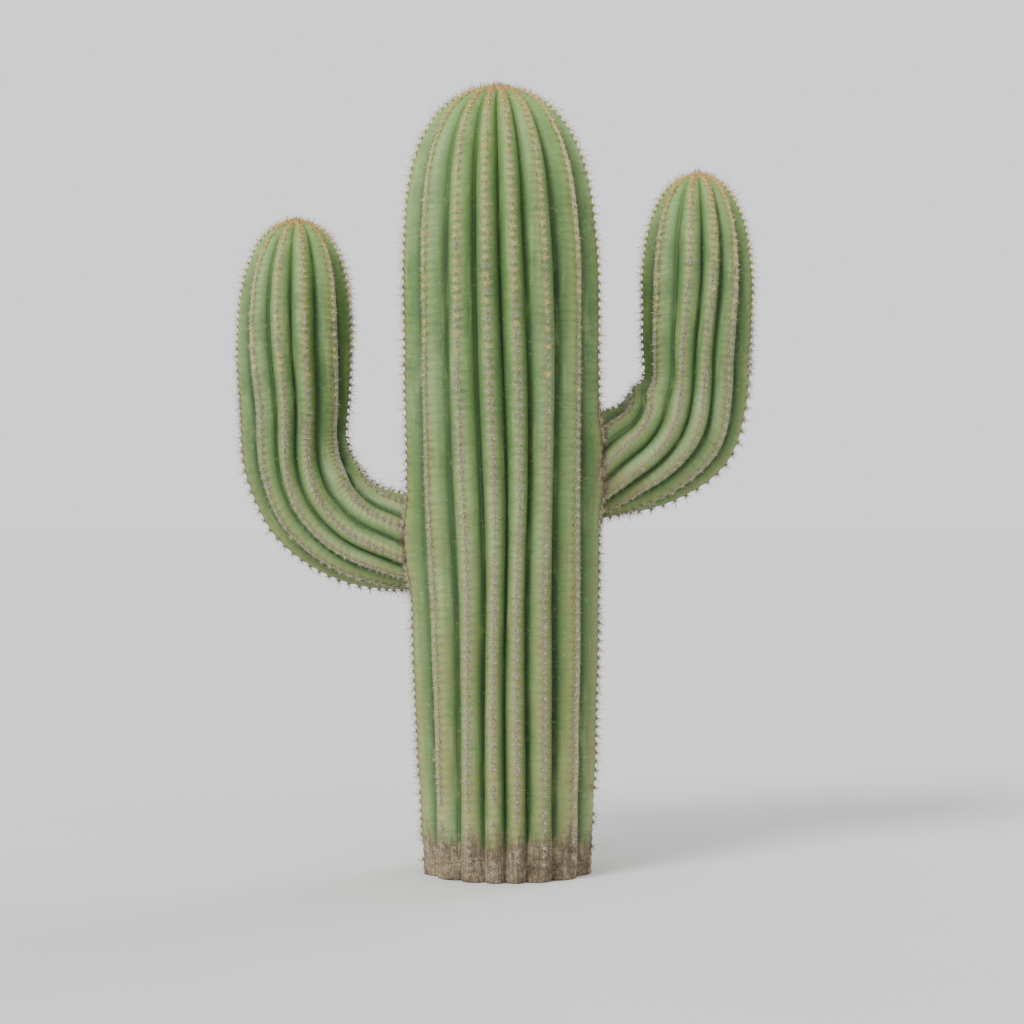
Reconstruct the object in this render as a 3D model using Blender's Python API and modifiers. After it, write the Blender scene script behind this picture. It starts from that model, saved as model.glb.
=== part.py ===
"""Saguaro cactus: a stout fluted trunk and two arms that leave its sides and turn upwards.

Metres, +Z up, -Y the front. The origin is the middle of the flat cut under the trunk, at
ground level. Each limb is turned as a plain round column, then fluted, bent along its own
line and given tufts of spines on the crests of its ribs.
"""

import math
from dataclasses import dataclass

import bmesh
import bpy
from mathutils import Vector

FRONT = Vector((0.0, -1.0, 0.0))
UP = Vector((0.0, 0.0, 1.0))
CLEARANCE = 0.0003
SOCKET_GROWTH = 2 * CLEARANCE  # along a radius: on the steep side of a rib half of it is left
SPLIT = 3.3 * CLEARANCE  # along an arm's line: at the inside of the bend a third of it is left

# Trunk
TRUNK_HEIGHT = 3.00
TRUNK_RIBS = 16
TRUNK_BELLY = 0.3785  # radius over the rib crests at the widest
TRUNK_BELLY_HEIGHT = 1.95
TRUNK_FOOT = 0.324  # radius over the rib crests at the ground
TRUNK_DOME = 1.00  # height of the part that closes in to the tip
TRUNK_LEAN = -0.037  # the tip stands this far to the side of the foot
LEAN_POWER = 1.55  # over 1, so that the lean grows with height
TRUNK_GROOVE = 0.145  # depth of a groove, as a share of the radius
FOOT_GROOVE = 0.095
FOOT_FADE = 0.45  # the grooves reach their full depth at this height

# Both arms
ARM_RIBS = 12
ARM_DOME = 0.51
ARM_GROOVE = 0.165
ARM_ROOT = 0.20  # an arm starts this far from the trunk's axis, inside it
NECK_DISTANCE = 0.38  # where an arm comes out of the trunk
GROWTH_POWER = 0.7  # under 1, so that an arm thickens mostly near its neck
WAIST_DEPTH = 0.007  # the slight narrowing above the bend
WAIST_LENGTH = 0.10

# Ribs and rings
FACETS = 5  # flat facets across one rib
PLUMPNESS = 0.62  # under 1 gives full ribs between narrow grooves
WANDER = ((0.026, 2.2, -2, 4.4), (0.010, 4.7, -3, 1.0))  # swing, turns a metre, around, start
TRUNK_CROWDING = (-0.180, 2, 0.0)  # how ribs crowd together: swing, around, start
ARM_CROWDING = (0.068, 3, 3.83)
SWAY_LENGTH = 0.27
BODY_RING = 0.150
ARM_RING = 0.115
TRUNK_DOME_RING = 0.080
ARM_DOME_RING = 0.064
OUTLINE_SAMPLES = 1500

# Tufts of spines
SPINE_LENGTH = 0.034
TUFT_PAD = 0.008  # half the width of the pad that a tuft stands on
PAD_SHARE = 0.38  # at most this share of a narrow facet's width
LEAST_FACET = 0.014  # a crest facet narrower than this has no tuft
TUFT_ROOM = 0.030  # bare skin kept between a tuft and another limb

TRUNK_SKIN = ("trunk_skin", (0.20, 0.30, 0.13, 1.0))
ARM_SKIN = ("arm_skin", (0.23, 0.35, 0.15, 1.0))
SKIN_ROUGHNESS = 0.55


@dataclass
class Arm:
    """One arm: its line lies in an upright plane through the trunk's axis."""

    name: str
    azimuth: float  # degrees from +X, seen from above
    root_height: float  # where its line meets the trunk's axis
    first_rise: float  # degrees above level on the way out
    last_rise: float  # degrees above level at the tip
    run: float  # straight length before the bend
    bend_radius: float
    tip_height: float
    neck: float  # radius over the rib crests where it leaves the trunk
    belly: float  # radius over the rib crests where the dome starts
    elbow: float  # extra radius in the middle of the bend
    phase: float  # degrees by which its ribs are turned
    coil: float  # degrees that they turn back between the end of the bend and the trunk
    sway: float  # degrees that they lean further at the end of the bend


LEFT_ARM = Arm(
    "left_arm", 166, 1.204, 7.5, 91.1, 0.489, 0.430, 2.515, 0.181, 0.2250, 0.011, 13.9, -87, 10
)
RIGHT_ARM = Arm(
    "right_arm", 12, 1.477, 12, 90, 0.509, 0.349, 2.690, 0.203, 0.2170, 0.025, -14.6, 145, -7.7
)


def dome(share, flatness, roundness=2.2):
    """The radius of a closing dome as a share of its foot's, at a share of its height."""
    return max(0.0, 1.0 - min(1.0, share) ** flatness) ** (1.0 / roundness)


def bump(offset, length):
    """A smooth hump, 1 at no offset and gone by about twice the length."""
    return math.exp(-((offset / length) ** 2))


class Limb:
    """What a fluted limb needs: its line, its girth and the way its ribs run."""

    def at(self, station, angle, radius):
        """The point at an angle round the limb's line, 0 being the front."""
        centre, direction, front = self.line(station)
        turned = angle + self.wander(station, angle)
        side = direction.cross(front)
        return centre + radius * (math.cos(turned) * front + math.sin(turned) * side)

    def wander(self, station, angle):
        """How far the ribs stray sideways, as an angle."""
        swing, around, start = self.crowding
        stray = self.turn(station) + swing * math.sin(around * angle + start)
        return stray + sum(
            swing * math.sin(turns * station + around * angle + start)
            for swing, turns, around, start in WANDER
        )


class Trunk(Limb):
    name = "trunk"
    ribs = TRUNK_RIBS
    crowding = TRUNK_CROWDING
    start = 0.0
    tip = TRUNK_HEIGHT
    dome_start = TRUNK_HEIGHT - TRUNK_DOME

    def __init__(self, grown=0.0):
        self.grown = grown

    def line(self, height):
        lean = TRUNK_LEAN * (max(0.0, height) / TRUNK_HEIGHT) ** LEAN_POWER
        return Vector((lean, 0.0, height)), UP, FRONT

    def girth(self, height):
        below = max(0.0, 1.0 - height / TRUNK_BELLY_HEIGHT)
        body = TRUNK_BELLY - (TRUNK_BELLY - TRUNK_FOOT) * below**2
        closing = max(0.0, height - self.dome_start) / TRUNK_DOME
        return body * dome(closing, 4.0) + self.grown

    def groove(self, height):
        rise = min(1.0, height / FOOT_FADE)
        return FOOT_GROOVE + (TRUNK_GROOVE - FOOT_GROOVE) * rise * rise * (3 - 2 * rise)

    def turn(self, height):
        return 0.0


class ArmLimb(Limb):
    ribs = ARM_RIBS

    def __init__(self, arm):
        self.arm = arm
        self.name = arm.name
        self.first = math.radians(arm.first_rise)
        self.last = math.radians(arm.last_rise)
        self.bend_end = arm.run + arm.bend_radius * (self.last - self.first)
        self.bend_middle = (arm.run + self.bend_end) / 2
        azimuth = math.radians(arm.azimuth)
        self.outward = Vector((math.cos(azimuth), math.sin(azimuth), 0.0))
        across = self.outward.cross(UP)
        self.front = across if across.dot(FRONT) > 0 else -across
        bend_top = self.line(self.bend_end)[0].z
        self.start = ARM_ROOT
        swing, around, start = ARM_CROWDING
        self.crowding = (swing, around, math.copysign(start, -self.outward.x))
        self.tip = self.bend_end + (arm.tip_height - bend_top) / math.sin(self.last)
        self.dome_start = self.tip - ARM_DOME

    def line(self, station):
        arm = self.arm
        straight = min(station, arm.run)
        turn = min(max(0.0, (station - arm.run) / arm.bend_radius), self.last - self.first)
        rise = self.first + turn
        after = max(0.0, station - self.bend_end)
        out = straight * math.cos(self.first) + after * math.cos(rise)
        out += arm.bend_radius * (math.sin(rise) - math.sin(self.first))
        up = straight * math.sin(self.first) + after * math.sin(rise)
        up += arm.bend_radius * (math.cos(self.first) - math.cos(rise))
        foot = Trunk().line(arm.root_height)[0]
        direction = self.outward * math.cos(rise) + UP * math.sin(rise)
        return foot + self.outward * out + UP * up, direction, self.front

    def girth(self, station):
        arm = self.arm
        grown = (station - NECK_DISTANCE) / (self.dome_start - NECK_DISTANCE)
        grown = min(1.0, max(0.0, grown)) ** GROWTH_POWER
        body = arm.neck + (arm.belly - arm.neck) * grown
        body += arm.elbow * bump(station - self.bend_middle, WAIST_LENGTH)
        body -= WAIST_DEPTH * bump(station - self.bend_end, WAIST_LENGTH)
        return body * dome(max(0.0, station - self.dome_start) / ARM_DOME, 2.6)

    def groove(self, station):
        return ARM_GROOVE

    def turn(self, station):
        back = min(0.0, station / self.bend_end - 1.0) ** 2
        lean = bump(station - self.bend_end, SWAY_LENGTH)
        return math.radians(self.arm.phase + self.arm.coil * back + self.arm.sway * lean)


def even_stations(start, end, ring):
    """Stations evenly spaced between two, both included."""
    count = max(1, round((end - start) / ring))
    return [start + (end - start) * i / count for i in range(count + 1)]


def dome_stations(limb, ring):
    """Stations evenly spaced along the dome's outline, from its foot to the tip."""
    height = limb.tip - limb.dome_start
    shares = [i / OUTLINE_SAMPLES for i in range(OUTLINE_SAMPLES + 1)]
    levels = [limb.tip - height * (1.0 - share) ** 2 for share in shares]
    lengths = [0.0]
    for low, high in zip(levels, levels[1:]):
        step = math.hypot(high - low, limb.girth(high) - limb.girth(low))
        lengths.append(lengths[-1] + step)
    count = round(lengths[-1] / ring)
    wanted = [lengths[-1] * i / count for i in range(count + 1)]
    found, at = [], 0
    for length in wanted:
        while at < OUTLINE_SAMPLES and lengths[at] < length:
            at += 1
        found.append(levels[at])
    return found


def turned_column(limb, stations):
    """The limb as a plain round column on the Z axis: its outline with a Screw modifier."""
    outline = [(limb.girth(s), s) for s in stations]
    if outline[-1][0] > 0.0:
        outline.append((0.0, stations[-1]))
    outline.insert(0, (0.0, stations[0]))
    outline.reverse()
    mesh = bpy.data.meshes.new("outline")
    points = [(radius, 0.0, s) for radius, s in outline]
    mesh.from_pydata(points, [(i, i + 1) for i in range(len(points) - 1)], [])
    profile = bpy.data.objects.new("outline", mesh)
    bpy.context.scene.collection.objects.link(profile)
    screw = profile.modifiers.new("turn", "SCREW")
    screw.steps = screw.render_steps = limb.ribs * FACETS
    screw.use_merge_vertices = True
    screw.merge_threshold = 0.00001
    graph = bpy.context.evaluated_depsgraph_get()
    column = bpy.data.meshes.new_from_object(profile.evaluated_get(graph))
    bpy.data.objects.remove(profile)
    return column


def flute(limb, point):
    """Where a point of the round column lies on the fluted and bent limb."""
    angle = math.atan2(point.y, point.x)
    rib = abs(math.sin(limb.ribs * angle / 2)) ** PLUMPNESS
    radius = math.hypot(point.x, point.y) * (1.0 - limb.groove(point.z) * (1.0 - rib))
    return limb.at(point.z, angle, radius)


def crest_facets(limb, shape):
    """The facets along the tops of the ribs, picked while the column is still round."""
    found = []
    for facet in shape.faces:
        middle = facet.calc_center_median()
        around = limb.ribs * math.atan2(middle.y, middle.x) / math.tau
        if len(facet.verts) == 4 and abs(around % 1.0 - 0.5) < 0.5 / FACETS:
            found.append(facet)
    return found


def add_tufts(shape, facets, clear_of_limbs):
    """Raises a four-sided spike on a small pad in the middle of each facet."""
    pads = []
    for facet in facets:
        spine_tip = facet.calc_center_median() + facet.normal * SPINE_LENGTH
        narrowest = min(edge.calc_length() for edge in facet.edges)
        if narrowest >= LEAST_FACET and clear_of_limbs(spine_tip):
            pads.append(facet)
    bmesh.ops.inset_individual(shape, faces=pads, thickness=TUFT_PAD / 4)
    for pad in pads:
        middle = pad.calc_center_median()
        sides = [edge.verts[1].co - edge.verts[0].co for edge in pad.edges]
        narrowest = min(sides, key=lambda side: side.length)
        half_width = min(TUFT_PAD, narrowest.length * PAD_SHARE)
        across = narrowest.normalized()
        along = pad.normal.cross(across).normalized()
        for corner in pad.verts:
            offset = corner.co - middle
            sideways = math.copysign(half_width, offset.dot(across))
            lengthways = math.copysign(TUFT_PAD, offset.dot(along))
            corner.co = middle + across * sideways + along * lengthways
    bmesh.ops.poke(shape, faces=pads, offset=SPINE_LENGTH)


def skin_material(name, colour):
    material = bpy.data.materials.get(name) or bpy.data.materials.new(name)
    material.use_nodes = True
    surface = material.node_tree.nodes["Principled BSDF"]
    surface.inputs["Base Color"].default_value = colour
    surface.inputs["Roughness"].default_value = SKIN_ROUGHNESS
    return material


def make_limb(name, limb, stations, skin, collection, clear_of_limbs=None):
    """One closed fluted solid between the first and the last station."""
    column = turned_column(limb, stations)
    shape = bmesh.new()
    shape.from_mesh(column)
    facets = crest_facets(limb, shape)
    for vertex in shape.verts:
        vertex.co = flute(limb, vertex.co)
    bmesh.ops.recalc_face_normals(shape, faces=shape.faces)
    if clear_of_limbs:
        add_tufts(shape, facets, clear_of_limbs)
    # The trunk and its cutter must split their bent facets alike, or they would touch.
    bmesh.ops.triangulate(shape, faces=shape.faces, quad_method="FIXED")
    mesh = bpy.data.meshes.new(name)
    shape.to_mesh(mesh)
    shape.free()
    bpy.data.meshes.remove(column)
    mesh.materials.append(skin_material(*skin))
    mesh.shade_flat()
    solid = bpy.data.objects.new(name, mesh)
    collection.objects.link(solid)
    return solid


def clear_of_arms(arms):
    """A test that a point lies well away from the arms where they leave the trunk."""
    lines = [
        (arm.line(station)[0], arm.girth(station) + TUFT_ROOM)
        for arm in arms
        for station in even_stations(NECK_DISTANCE - 0.1, arm.bend_end, 0.05)
    ]
    return lambda point: all((point - centre).length > room for centre, room in lines)


def clear_of_trunk(trunk):
    """A test that a point lies well away from the trunk's side."""

    def test(point):
        centre = trunk.line(point.z)[0]
        return (point - centre).length > trunk.girth(point.z) + TUFT_ROOM + SPINE_LENGTH

    return test


def clear_start():
    for thing in list(bpy.data.objects):
        bpy.data.objects.remove(thing)


def new_collection(name):
    collection = bpy.data.collections.new(name)
    bpy.context.scene.collection.children.link(collection)
    return collection


def main():
    clear_start()
    cactus = new_collection("saguaro_cactus")
    cutters = new_collection("cutters")
    trunk = Trunk()
    arms = [ArmLimb(LEFT_ARM), ArmLimb(RIGHT_ARM)]

    body = even_stations(trunk.start, trunk.dome_start, BODY_RING)
    stations = body + dome_stations(trunk, TRUNK_DOME_RING)[1:]
    make_limb(trunk.name, trunk, stations, TRUNK_SKIN, cactus, clear_of_arms(arms))

    socket = Trunk(grown=SOCKET_GROWTH)
    below = stations[0] - BODY_RING
    cutter = make_limb("trunk_socket", socket, [below, *stations], TRUNK_SKIN, cutters)
    cutter.hide_render = True
    cutter.display_type = "WIRE"

    for arm in arms:
        clear = clear_of_trunk(trunk)
        base = even_stations(arm.start, arm.bend_middle - SPLIT / 2, ARM_RING)
        base_solid = make_limb(arm.name + "_base", arm, base, ARM_SKIN, cactus, clear)
        cut = base_solid.modifiers.new("seat_on_trunk", "BOOLEAN")
        cut.operation = "DIFFERENCE"
        cut.object = cutter
        upright = even_stations(arm.bend_middle + SPLIT / 2, arm.dome_start, ARM_RING)
        upright += dome_stations(arm, ARM_DOME_RING)[1:]
        make_limb(arm.name + "_upright", arm, upright, ARM_SKIN, cactus, clear)


main()
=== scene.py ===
"""Saguaro cactus: ribbed skins, felted areoles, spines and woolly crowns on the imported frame.

Metres, +Z up, -Y the front, the origin in the middle of the trunk's flat cut at ground level.
Each limb starts as a rail: one point for each ring of its skin, with the ring's centre, girth
and facing. A node tree lofts the ribbed skin over the rail, and other trees stand pads of felt
and spines on the areoles that the skin marks along the crests of its ribs.
"""

import math
from dataclasses import dataclass

import bpy
import numpy as np
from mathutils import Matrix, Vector
from mathutils.bvhtree import BVHTree


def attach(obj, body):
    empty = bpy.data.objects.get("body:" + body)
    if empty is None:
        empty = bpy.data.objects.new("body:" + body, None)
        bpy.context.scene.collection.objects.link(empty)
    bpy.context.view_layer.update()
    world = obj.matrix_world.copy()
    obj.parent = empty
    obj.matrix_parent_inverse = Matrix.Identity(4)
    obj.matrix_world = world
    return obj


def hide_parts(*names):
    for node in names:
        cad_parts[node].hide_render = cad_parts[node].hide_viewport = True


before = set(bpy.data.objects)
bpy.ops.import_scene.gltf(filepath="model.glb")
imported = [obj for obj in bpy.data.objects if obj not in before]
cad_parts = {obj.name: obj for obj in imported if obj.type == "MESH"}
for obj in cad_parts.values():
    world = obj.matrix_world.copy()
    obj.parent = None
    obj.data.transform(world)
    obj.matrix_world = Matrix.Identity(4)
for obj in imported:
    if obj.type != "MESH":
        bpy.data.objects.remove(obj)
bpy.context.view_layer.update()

FRONT = Vector((0.0, -1.0, 0.0))
UP = Vector((0.0, 0.0, 1.0))

# Trunk, the same sizes as its solid
TRUNK_HEIGHT = 3.00
TRUNK_RIBS = 16
TRUNK_BELLY = 0.3785  # radius over the rib crests at the widest
TRUNK_BELLY_HEIGHT = 1.95
TRUNK_FOOT = 0.324  # radius over the rib crests at the ground
TRUNK_DOME = 1.00  # height of the part that closes in to the tip
TRUNK_FLATNESS = 4.0  # the higher, the later the dome closes in
TRUNK_LEAN = -0.037  # the tip stands this far to the side of the foot
LEAN_POWER = 1.55  # over 1, so that the lean grows with height
TRUNK_GROOVE = 0.145  # depth of a groove, as a share of the radius
FOOT_GROOVE = 0.095
FOOT_FADE = 0.45  # the grooves reach their full depth at this height

# Arms, the same sizes as their solids
ARM_RIBS = 12
ARM_DOME = 0.51
ARM_FLATNESS = 2.6
ARM_GROOVE = 0.165
ARM_ROOT = 0.20  # an arm starts this far from the trunk's axis, inside it
NECK_DISTANCE = 0.38  # where an arm comes out of the trunk
GROWTH_POWER = 0.7  # under 1, so that an arm thickens mostly near its neck
WAIST_DEPTH = 0.007  # the slight narrowing above the bend
WAIST_LENGTH = 0.10

# Domes and ribs
DOME_ROUNDNESS = 2.2  # over 2, so that a dome is a little fuller than an oval
PLUMPNESS = 0.62  # under 1 gives full ribs between narrow grooves
WANDER = ((0.026, 2.2, -2, 4.4), (0.010, 4.7, -3, 1.0))  # swing, radians a metre, around, start
TRUNK_CROWDING = (-0.180, 2, 0.0)  # how ribs crowd together: swing, around, start
ARM_CROWDING = (0.068, 3, 3.83)
SWAY_LENGTH = 0.27

# Skins
TRUNK_PITCH = 0.0320  # from one areole to the next along a rib
ARM_PITCH = 0.0285
TRUNK_COLLAR = 0.016  # height of the raised ring round each arm


@dataclass
class Arm:
    """One arm: its line lies in an upright plane through the trunk's axis."""

    name: str
    azimuth: float  # degrees from +X, seen from above
    root_height: float  # where its line meets the trunk's axis
    first_rise: float  # degrees above level on the way out
    last_rise: float  # degrees above level at the tip
    run: float  # straight length before the bend
    bend_radius: float
    tip_height: float
    neck: float  # radius over the rib crests where it leaves the trunk
    belly: float  # radius over the rib crests where the dome starts
    elbow: float  # extra radius in the middle of the bend
    phase: float  # degrees by which its ribs are turned
    coil: float  # degrees that they turn back between the end of the bend and the trunk
    sway: float  # degrees that they lean further at the end of the bend


LEFT_ARM = Arm(
    "left_arm", 166, 1.204, 7.5, 91.1, 0.489, 0.430, 2.515, 0.181, 0.2250, 0.011, 13.9, -87, 10
)
RIGHT_ARM = Arm(
    "right_arm", 12, 1.477, 12, 90, 0.509, 0.349, 2.690, 0.203, 0.2170, 0.025, -14.6, 145, -7.7
)


def dome(share, flatness):
    """The radius of a closing dome as a share of its foot's, at a share of its height."""
    return max(0.0, 1.0 - min(1.0, share) ** flatness) ** (1.0 / DOME_ROUNDNESS)


def bump(offset, length):
    """A smooth hump, 1 at no offset and gone by about twice the length."""
    return math.exp(-((offset / length) ** 2))


class Trunk:
    """The trunk. Its stations are heights above the ground."""

    name = "trunk"
    slot = "trunk_skin"
    nodes = ("trunk",)
    ribs = TRUNK_RIBS
    crowding = TRUNK_CROWDING
    pitch = TRUNK_PITCH
    collar = TRUNK_COLLAR
    start = 0.0
    tip = TRUNK_HEIGHT
    dome_start = TRUNK_HEIGHT - TRUNK_DOME

    def line(self, height):
        """A ring's centre, the way the limb grows there, and its front."""
        lean = TRUNK_LEAN * (max(0.0, height) / TRUNK_HEIGHT) ** LEAN_POWER
        return Vector((lean, 0.0, height)), UP, FRONT

    def girth(self, height):
        """The radius over the rib crests."""
        below = max(0.0, 1.0 - height / TRUNK_BELLY_HEIGHT)
        body = TRUNK_BELLY - (TRUNK_BELLY - TRUNK_FOOT) * below**2
        closing = max(0.0, height - self.dome_start) / TRUNK_DOME
        return body * dome(closing, TRUNK_FLATNESS)

    def groove(self, height):
        """The depth of the grooves, as a share of the girth."""
        rise = min(1.0, height / FOOT_FADE)
        return FOOT_GROOVE + (TRUNK_GROOVE - FOOT_GROOVE) * rise * rise * (3 - 2 * rise)

    def turn(self, height):
        """The angle by which the ribs are turned round the limb."""
        return 0.0


class ArmLimb:
    """An arm. Its stations are lengths along its line from the trunk's axis."""

    slot = "arm_skin"
    ribs = ARM_RIBS
    pitch = ARM_PITCH
    collar = 0.0
    start = ARM_ROOT

    def __init__(self, arm):
        self.arm = arm
        self.name = arm.name
        self.nodes = (arm.name + "_base", arm.name + "_upright")
        self.first = math.radians(arm.first_rise)
        self.last = math.radians(arm.last_rise)
        self.bend_end = arm.run + arm.bend_radius * (self.last - self.first)
        self.bend_middle = (arm.run + self.bend_end) / 2
        azimuth = math.radians(arm.azimuth)
        self.outward = Vector((math.cos(azimuth), math.sin(azimuth), 0.0))
        across = self.outward.cross(UP)
        self.front = across if across.dot(FRONT) > 0 else -across
        swing, around, start = ARM_CROWDING
        self.crowding = (swing, around, math.copysign(start, -self.outward.x))
        bend_top = self.line(self.bend_end)[0].z
        self.tip = self.bend_end + (arm.tip_height - bend_top) / math.sin(self.last)
        self.dome_start = self.tip - ARM_DOME

    def line(self, station):
        arm = self.arm
        straight = min(station, arm.run)
        turn = min(max(0.0, (station - arm.run) / arm.bend_radius), self.last - self.first)
        rise = self.first + turn
        after = max(0.0, station - self.bend_end)
        out = straight * math.cos(self.first) + after * math.cos(rise)
        out += arm.bend_radius * (math.sin(rise) - math.sin(self.first))
        up = straight * math.sin(self.first) + after * math.sin(rise)
        up += arm.bend_radius * (math.cos(self.first) - math.cos(rise))
        foot = Trunk().line(arm.root_height)[0]
        direction = self.outward * math.cos(rise) + UP * math.sin(rise)
        return foot + self.outward * out + UP * up, direction, self.front

    def girth(self, station):
        arm = self.arm
        grown = (station - NECK_DISTANCE) / (self.dome_start - NECK_DISTANCE)
        grown = min(1.0, max(0.0, grown)) ** GROWTH_POWER
        body = arm.neck + (arm.belly - arm.neck) * grown
        body += arm.elbow * bump(station - self.bend_middle, WAIST_LENGTH)
        body -= WAIST_DEPTH * bump(station - self.bend_end, WAIST_LENGTH)
        closing = max(0.0, station - self.dome_start) / ARM_DOME
        return body * dome(closing, ARM_FLATNESS)

    def groove(self, station):
        return ARM_GROOVE

    def turn(self, station):
        back = min(0.0, station / self.bend_end - 1.0) ** 2
        lean = bump(station - self.bend_end, SWAY_LENGTH)
        return math.radians(self.arm.phase + self.arm.coil * back + self.arm.sway * lean)


def placed(name, data):
    """A new object in the scene."""
    thing = bpy.data.objects.new(name, data)
    bpy.context.scene.collection.objects.link(thing)
    return thing


def store_values(mesh, values, kind="FLOAT"):
    """Stores named numbers or vectors on a mesh's points."""
    key = "value" if kind == "FLOAT" else "vector"
    for name, column in values.items():
        attribute = mesh.attributes.new(name, kind, "POINT")
        attribute.data.foreach_set(key, np.asarray(column, np.float32).ravel())


# Node trees written as expressions


@dataclass
class Clouds:
    """A cloudy pattern."""

    scale: float  # about how many clouds lie along a metre
    detail: float  # how often finer clouds are laid over them
    roughness: float = 0.5  # how strong the finer ones are
    squash: float = 1.0  # over 1 flattens them along the limb, under 1 draws them out


RIB_CLOUDS = Clouds(1.0, 2.0)


class Wire:
    """A value inside a node tree, so that sums of nodes are written as sums."""

    def __init__(self, board, socket):
        self.board = board
        self.socket = socket
        self.is_vector = socket.type == "VECTOR"

    def __add__(self, other):
        return self.board.maths("ADD", self, other)

    def __sub__(self, other):
        return self.board.maths("SUBTRACT", self, other)

    def __rsub__(self, other):
        return self.board.maths("SUBTRACT", other, self)

    def __mul__(self, other):
        return self.board.maths("MULTIPLY", self, other)

    def __truediv__(self, other):
        return self.board.maths("DIVIDE", self, other)

    def __mod__(self, other):
        return self.board.maths("FLOORED_MODULO", self, other)

    def __pow__(self, other):
        return self.board.maths("POWER", self, other)


class Board:
    """A node tree that nodes are laid on."""

    def __init__(self, tree):
        self.tree = tree

    def lay(self, kind, inputs=None, **settings):
        """Adds a node, makes its settings, then joins or sets its inputs."""
        node = self.tree.nodes.new(kind)
        for name, value in settings.items():
            setattr(node, name, value)
        for name, value in (inputs or {}).items():
            self.fill(self.socket(node.inputs, name), value)
        return node

    def fill(self, socket, value):
        """Joins an input to a wire, or sets it to a plain value."""
        if isinstance(value, Wire):
            self.tree.links.new(value.socket, socket)
        else:
            socket.default_value = value

    @staticmethod
    def socket(sockets, name):
        """One of a node's sockets, by its name or by its number among those in use."""
        if isinstance(name, int):
            return [s for s in sockets if s.enabled][name]
        return next(s for s in sockets if s.name == name and s.enabled)

    def out(self, node, name=0):
        """One of a node's outputs."""
        return Wire(self, self.socket(node.outputs, name))

    def get(self, kind, inputs=None, output=0, **settings):
        """Adds a node and returns one of its outputs."""
        return self.out(self.lay(kind, inputs, **settings), output)

    def maths(self, operation, *values):
        """A sum of numbers or of vectors. A vector times a number is scaled."""
        inputs = dict(enumerate(values))
        vectors = [value for value in values if isinstance(value, Wire) and value.is_vector]
        if not vectors:
            return self.get("ShaderNodeMath", inputs, operation=operation)
        if operation == "MULTIPLY" and len(vectors) == 1:
            number = next(value for value in values if value is not vectors[0])
            inputs, operation = {"Vector": vectors[0], "Scale": number}, "SCALE"
        return self.get("ShaderNodeVectorMath", inputs, operation=operation)

    def vector(self, x, y, z):
        """A vector made of three numbers."""
        return self.get("ShaderNodeCombineXYZ", {"X": x, "Y": y, "Z": z})

    def parts(self, vector):
        """The three numbers that a vector is made of."""
        node = self.lay("ShaderNodeSeparateXYZ", {"Vector": vector})
        return self.out(node, "X"), self.out(node, "Y"), self.out(node, "Z")

    def ease(self, value, start, full, least=0.0, most=1.0):
        """A smooth step: least where the value is at the start, and most where it is full."""
        inputs = {
            "Value": value,
            "From Min": start,
            "From Max": full,
            "To Min": least,
            "To Max": most,
        }
        return self.get("ShaderNodeMapRange", inputs, interpolation_type="SMOOTHSTEP")

    def clouds(self, place, pattern):
        """A cloudy pattern, from 0 to 1."""
        if pattern.squash != 1.0:
            place = place * self.vector(1.0, 1.0, pattern.squash)
        inputs = {
            "Vector": place,
            "Scale": pattern.scale,
            "Detail": pattern.detail,
            "Roughness": pattern.roughness,
        }
        return self.get("ShaderNodeTexNoise", inputs, "Fac")

    def rib_clouds(self, rib, length, pattern):
        """A cloudy pattern that runs along each rib, and differs from rib to rib."""
        step, pace = pattern
        return self.clouds(self.vector(rib * step, 0.0, length * pace), RIB_CLOUDS)


class ModifierTree(Board):
    """A geometry tree with named inputs, which ends in one geometry."""

    def __init__(self, name, counts=(), sizes=(), places=(), finishes=()):
        super().__init__(bpy.data.node_groups.new(name, "GeometryNodeTree"))
        self.add_socket("Geometry", "Geometry")
        self.names = {}
        kinds = {"Int": counts, "Float": sizes, "Vector": places, "Material": finishes}
        for kind, labels in kinds.items():
            for label in labels:
                self.names[label] = self.add_socket(label, kind).identifier
        self.add_socket("Geometry", "Geometry", "OUTPUT")
        self.entry = self.lay("NodeGroupInput")

    def add_socket(self, label, kind, in_out="INPUT"):
        """A new socket of the whole tree."""
        sockets = self.tree.interface
        return sockets.new_socket(label, in_out=in_out, socket_type="NodeSocket" + kind)

    def given(self, name):
        """One of the tree's own inputs."""
        return self.out(self.entry, name)

    def attribute(self, name, data_type="FLOAT"):
        """A value that the geometry carries."""
        inputs = {"Name": name}
        return self.get("GeometryNodeInputNamedAttribute", inputs, data_type=data_type)

    def store(self, geometry, name, value, data_type="FLOAT", domain="POINT"):
        """The geometry with a value stored on it."""
        inputs = {"Geometry": geometry, "Name": name, "Value": value}
        return self.get(
            "GeometryNodeStoreNamedAttribute", inputs, data_type=data_type, domain=domain
        )

    def chance(self, low, high, pick, seed):
        """A random number for each element."""
        inputs = {"Min": low, "Max": high, "ID": pick, "Seed": seed}
        return self.get("FunctionNodeRandomValue", inputs, data_type="FLOAT")

    def end(self, geometry):
        """Makes a geometry the tree's result."""
        leave = self.lay("NodeGroupOutput")
        self.tree.links.new(geometry.socket, leave.inputs[0])

    def grow(self, name, start_mesh, values):
        """The plain mesh object that the tree makes from a start mesh."""
        raw = placed(name + "_start", start_mesh)
        modifier = raw.modifiers.new(self.tree.name, "NODES")
        modifier.node_group = self.tree
        for label, value in values.items():
            modifier[self.names[label]] = value
        graph = bpy.context.evaluated_depsgraph_get()
        mesh = bpy.data.meshes.new_from_object(raw.evaluated_get(graph))
        bpy.data.objects.remove(raw)
        mesh.name = name
        return placed(name, mesh)


# The ribbed skins

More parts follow.
